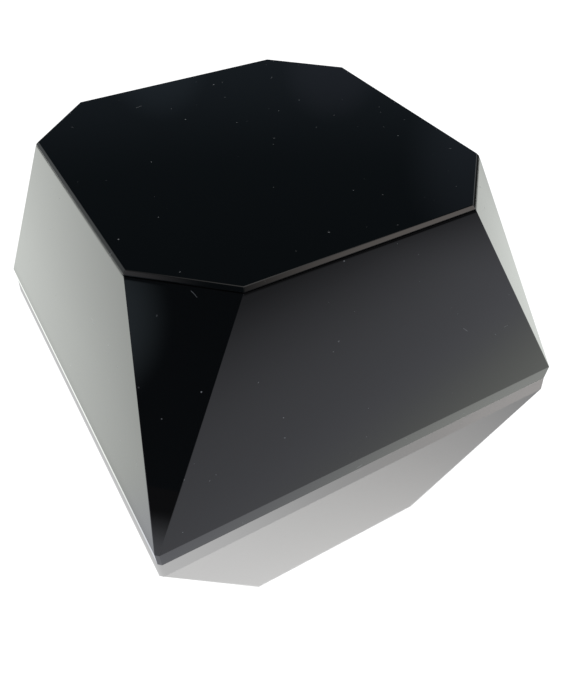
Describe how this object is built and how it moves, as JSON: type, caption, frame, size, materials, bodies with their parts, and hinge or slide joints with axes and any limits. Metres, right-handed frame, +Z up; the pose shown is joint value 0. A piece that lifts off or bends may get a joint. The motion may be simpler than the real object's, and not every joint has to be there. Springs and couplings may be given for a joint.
{
  "type": "survey prism",
  "caption": "Sealed retroreflector block: black octagonal window over a faceted gloss black casing with a thin edge band, flat underside for mounting.",
  "frame": {"origin": "centre of the underside", "axes": "+Z up, out of the window; +X along the front wall to the right; the front wall faces -Y"},
  "size_m": [0.1, 0.102, 0.05],
  "materials": {
    "window_glass": "polished black glass that passes near infrared light only",
    "sealant": "matt black elastomer",
    "mask_black": "flat black film",
    "casing_black": "high-gloss black lacquer, polished to a mirror",
    "optical_glass": "clear polished crown glass",
    "mirror_film": "copper-toned mirror film",
    "back_paint": "dark protective paint",
    "cell_anodised": "black anodised, finely turned",
    "cushion_silicone": "soft red silicone",
    "seat_polymer": "natural white acetal",
    "o_ring_rubber": "black nitrile rubber",
    "stainless": "stainless steel, machined",
    "plate_black": "gloss black band, satin black underside",
    "brass_thread": "turned brass",
    "vent_polymer": "moulded black polymer",
    "membrane": "white breathable membrane",
    "capsule_polymer": "translucent white capsule",
    "spring_steel": "blued spring steel"
  },
  "bodies": {
    "root": {"front_window": "window_glass", "window_bond": "sealant", "aperture_mask": "mask_black", "casing": "casing_black", "corner_cube": "optical_glass", "mirror_coat": "mirror_film", "coat_lacquer": "back_paint", "prism_cell": "cell_anodised", "rear_cushion": "cushion_silicone", "rear_seat": "seat_polymer", "front_o_ring": "o_ring_rubber", "retaining_ring": "cell_anodised", "cell_screws": "stainless", "cell_dowels": "stainless", "base_plate": "plate_black", "base_seal": "o_ring_rubber", "base_screws": "stainless", "mount_insert": "brass_thread", "insert_pins": "stainless", "pattern_bushes": "brass_thread", "vent_plug": "vent_polymer", "vent_membrane": "membrane", "desiccant_capsule": "capsule_polymer", "desiccant_clip": "spring_steel"}
  },
  "joints": []
}
